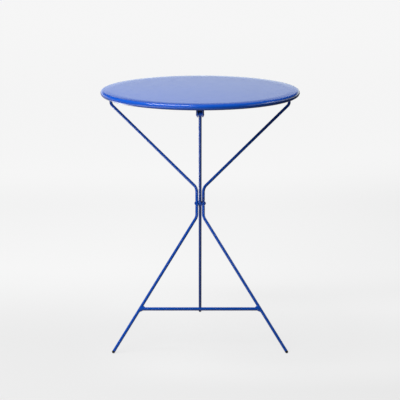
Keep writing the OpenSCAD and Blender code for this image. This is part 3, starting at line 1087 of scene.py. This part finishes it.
def add_washer(node, side, place, pin_d, pivots):
    """A plastic washer across X."""
    size = size_of(node)
    inner_x = abs(middle_of(node).x) - size.x / 2
    bore_r = pin_d / 2 + pivots.play
    outline = ring_outline(size.y / 2, bore_r, 0, size.x, pivots.washer_corner)
    place = place @ along_x(side, inner_x)
    turned_piece(f"{node}_ring", outline, place, "leg_frame", node, PLASTIC, closed=True)


def add_cap(node, side, place, pivots):
    """A push-on cap on the end of a hinge pin, with its brim against the lug."""
    size = size_of(node)
    brim_x = abs(middle_of(node).x) + size.x / 2
    wall = pivots.cap_wall
    bore_r = ROD_D / 2 + pivots.play
    corner = pivots.corner
    outline = [
        ((0, size.x), 0.0),
        ((bore_r + wall, size.x), 2 * corner),
        ((bore_r + wall, wall), corner),
        ((size.y / 2, wall), corner),
        ((size.y / 2, 0), corner / 2),
        ((bore_r, 0), corner / 2),
        ((bore_r, size.x - wall), 0.0),
        ((0, size.x - wall), 0.0),
    ]
    place = place @ along_x(side, brim_x) @ Matrix.Rotation(pi, 4, "X")
    turned_piece(f"{node}_cup", outline, place, "leg_frame", node)


class BISTRO_OT_pivots(bpy.types.Operator):
    """Build the rivet, the latch pin, the washers and the hinge caps"""

    bl_idname = "bistro.pivots"
    bl_label = "Pivot Hardware"

    def execute(self, context):
        pivots = context.scene.bistro_pivots
        at_latch = IN_CENTRE_LEG @ moved(0, 0, LATCH_S)
        at_hinge = Matrix.Translation(HINGE)
        add_pin("waist_rivet", pivots.rivet_head, "leg_frame", IN_FRAME, pivots)
        add_pin("latch_pin", pivots.latch_head, "centre_leg", at_latch, pivots)
        for name, side in SIDES.items():
            add_washer(f"{name}_waist_washer", side, IN_FRAME, pivots.pin_d, pivots)
            add_washer(f"{name}_hinge_washer", side, at_hinge, ROD_D, pivots)
            add_cap(f"{name}_hinge_cap", side, at_hinge, pivots)
        return {"FINISHED"}


def add_glide(node, foot, body, turn):
    """A glide: a spigot, a collar and a round tip, worn flat on the floor."""
    pivots = bpy.context.scene.bistro_pivots
    top_z = pivots.collar + pivots.spigot
    outline = [
        ((0, top_z), 0.0),
        ((pivots.spigot_d / 2, top_z), pivots.corner),
        ((pivots.spigot_d / 2, pivots.collar), 0.0),
        ((ROD_D / 2, pivots.collar), pivots.washer_corner),
        *square(arc((0, 0), ROD_D / 2, 0, -90, steps=14)),
    ]
    place = Matrix.Translation(tip_centre(foot)) @ turn
    piece = turned_piece(f"{node}_tip", outline, place, body, node, PLASTIC)
    for vertex in piece.data.vertices:
        vertex.co.z = max(vertex.co.z, 0.0)


class BISTRO_OT_glides(bpy.types.Operator):
    """Build the three plastic glides that the rods stand on"""

    bl_idname = "bistro.glides"
    bl_label = "Foot Glides"

    def execute(self, context):
        splay = Matrix.Rotation(-leg_splay(context.scene.bistro_rods), 4, "Y")
        lean = Matrix.Rotation(-FRAME_LEAN, 4, "X") @ splay
        for name, side in SIDES.items():
            turn = mirrored(side) @ lean @ mirrored(side)
            add_glide(f"{name}_foot_glide", f"{name}_front_foot", "leg_frame", turn)
        turn = Matrix.Rotation(CENTRE_LEAN, 4, "X")
        add_glide("rear_foot_glide", "rear_foot", "centre_leg", turn)
        return {"FINISHED"}


def add_camera(scene, stage):
    """The camera, which looks level along Y and tilts down."""
    data = bpy.data.cameras.new("camera")
    data.lens = stage.lens
    data.clip_end = 2 * stage.floor_size
    scene.camera = linked("camera", data)
    scene.camera.location = (-stage.camera_aside, -stage.camera_back, stage.camera_height)
    scene.camera.rotation_euler = (pi / 2 - stage.camera_tilt, 0, 0)


def add_lamp(name, watts, width, height, distance, bearing, lift):
    """A rectangular lamp that is aimed at the top."""
    lamp = bpy.data.lights.new(name, "AREA")
    lamp.shape = "RECTANGLE"
    lamp.size = width
    lamp.size_y = height
    lamp.energy = watts
    rig = linked(name, lamp)
    turn, rise = radians(bearing), radians(lift)
    reach = cos(rise)
    towards = Vector((reach * sin(turn), -reach * cos(turn), sin(rise)))
    rig.location = Vector((0, 0, TOP_Z)) + towards * distance
    rig.rotation_euler = towards.to_track_quat("Z", "Y").to_euler()
    return rig


def add_floor(stage):
    """A wide floor that takes the shadows, with painted shade and painted light in its camera
    tone.
    """
    half = stage.floor_size / 2
    mesh = bpy.data.meshes.new("floor")
    corners = [(-half, -half, 0), (half, -half, 0), (half, half, 0), (-half, half, 0)]
    mesh.from_pydata(corners, [], [(0, 1, 2, 3)])
    material, net = emptied(bpy.data.materials.new("studio_floor"))
    path = net.add("ShaderNodeLightPath")
    parts = net.parts(net.add("ShaderNodeTexCoord")["Object"])
    tone = stage.near_tone + net.patches(parts, FLOOR_TONES)
    gloss = net.patches(parts, FLOOR_REFLECTED_GLOW)
    # The floor's glow is its tone for the camera, painted reflections for glossy rays and a
    # painted bounce light for diffuse rays.
    level = path["Is Camera Ray"] * tone + path["Is Glossy Ray"] * gloss
    level += path["Is Diffuse Ray"] * net.patch(parts, FLOOR_BOUNCE)
    matt = net.add("ShaderNodeBsdfDiffuse", {"Color": opaque([stage.floor_grey] * 3)})
    glow = net.add("ShaderNodeEmission", {"Strength": level})
    both = net.add("ShaderNodeAddShader", {0: matt, 1: glow})
    net.add("ShaderNodeOutputMaterial", {"Surface": both})
    mesh.materials.append(material)
    floor = linked("floor", mesh)


def add_backdrop(scene, stage):
    """A world that is pale to the camera and dimmer on the right to the table."""
    scene.world, net = emptied(bpy.data.worlds.new("studio"))
    path = net.add("ShaderNodeLightPath")
    parts = net.parts(net.add("ShaderNodeTexCoord")["Generated"])
    behind, left, right = (net.patch(parts, fades) for fades in SKY_GLOSS.values())
    gloss = SKY_DARK + net.maths("MAXIMUM", behind, left) + right
    camera = path["Is Camera Ray"]
    glossy = path["Is Glossy Ray"]
    diffuse = net.clamp(1 - camera - glossy)
    level = camera * stage.sky_tone + glossy * gloss
    level += diffuse * net.patch(parts, SKY_BOUNCE)
    shade = net.blend(glossy, (1, 1, 1), SKY_GLOSS_COLOUR)
    sky = net.add("ShaderNodeBackground", {"Color": shade, "Strength": level})
    net.add("ShaderNodeOutputWorld", {"Surface": sky})


class BISTRO_OT_stage(bpy.types.Operator):
    """Build the floor, the backdrop, the lamps and the camera"""

    bl_idname = "bistro.stage"
    bl_label = "Studio"

    def execute(self, context):
        stage = context.scene.bistro_stage
        context.scene.view_settings.view_transform = "Standard"
        add_camera(context.scene, stage)
        add_floor(stage)
        add_backdrop(context.scene, stage)
        for name, sizes in LAMPS.items():
            lamp = add_lamp(name, getattr(stage, f"{name}_power"), *sizes)
            lamp.visible_glossy = name != "key"
        return {"FINISHED"}


class BISTRO_PT_panel(bpy.types.Panel):
    """Lists the steps of the table in the sidebar"""

    bl_label = "Bistro Table"
    bl_idname = "BISTRO_PT_panel"
    bl_space_type = "VIEW_3D"
    bl_region_type = "UI"
    bl_category = "Bistro Table"

    def draw(self, context):
        for step in STEPS:
            self.layout.operator(step.bl_idname)


STEPS = (
    BISTRO_OT_stage,
    BISTRO_OT_top,
    BISTRO_OT_brace,
    BISTRO_OT_keeper,
    BISTRO_OT_side_rods,
    BISTRO_OT_crossbar,
    BISTRO_OT_centre_leg,
    BISTRO_OT_pivots,
    BISTRO_OT_glides,
)
GROUPS = {
    "bistro_finish": FinishSettings,
    "bistro_top": TopSettings,
    "bistro_rods": RodSettings,
    "bistro_pivots": PivotSettings,
    "bistro_welds": WeldSettings,
    "bistro_stage": StageSettings,
}


def register():
    for name, group in GROUPS.items():
        bpy.utils.register_class(group)
        setattr(bpy.types.Scene, name, PointerProperty(type=group))
    for step in (*STEPS, BISTRO_PT_panel):
        bpy.utils.register_class(step)


def unregister():
    for step in (BISTRO_PT_panel, *reversed(STEPS)):
        bpy.utils.unregister_class(step)
    for name, group in GROUPS.items():
        delattr(bpy.types.Scene, name)
        bpy.utils.unregister_class(group)


def main():
    """Builds the stage and every piece."""
    register()
    for step in STEPS:
        group, name = step.bl_idname.split(".")
        getattr(getattr(bpy.ops, group), name)()


if __name__ == "__main__":
    main()
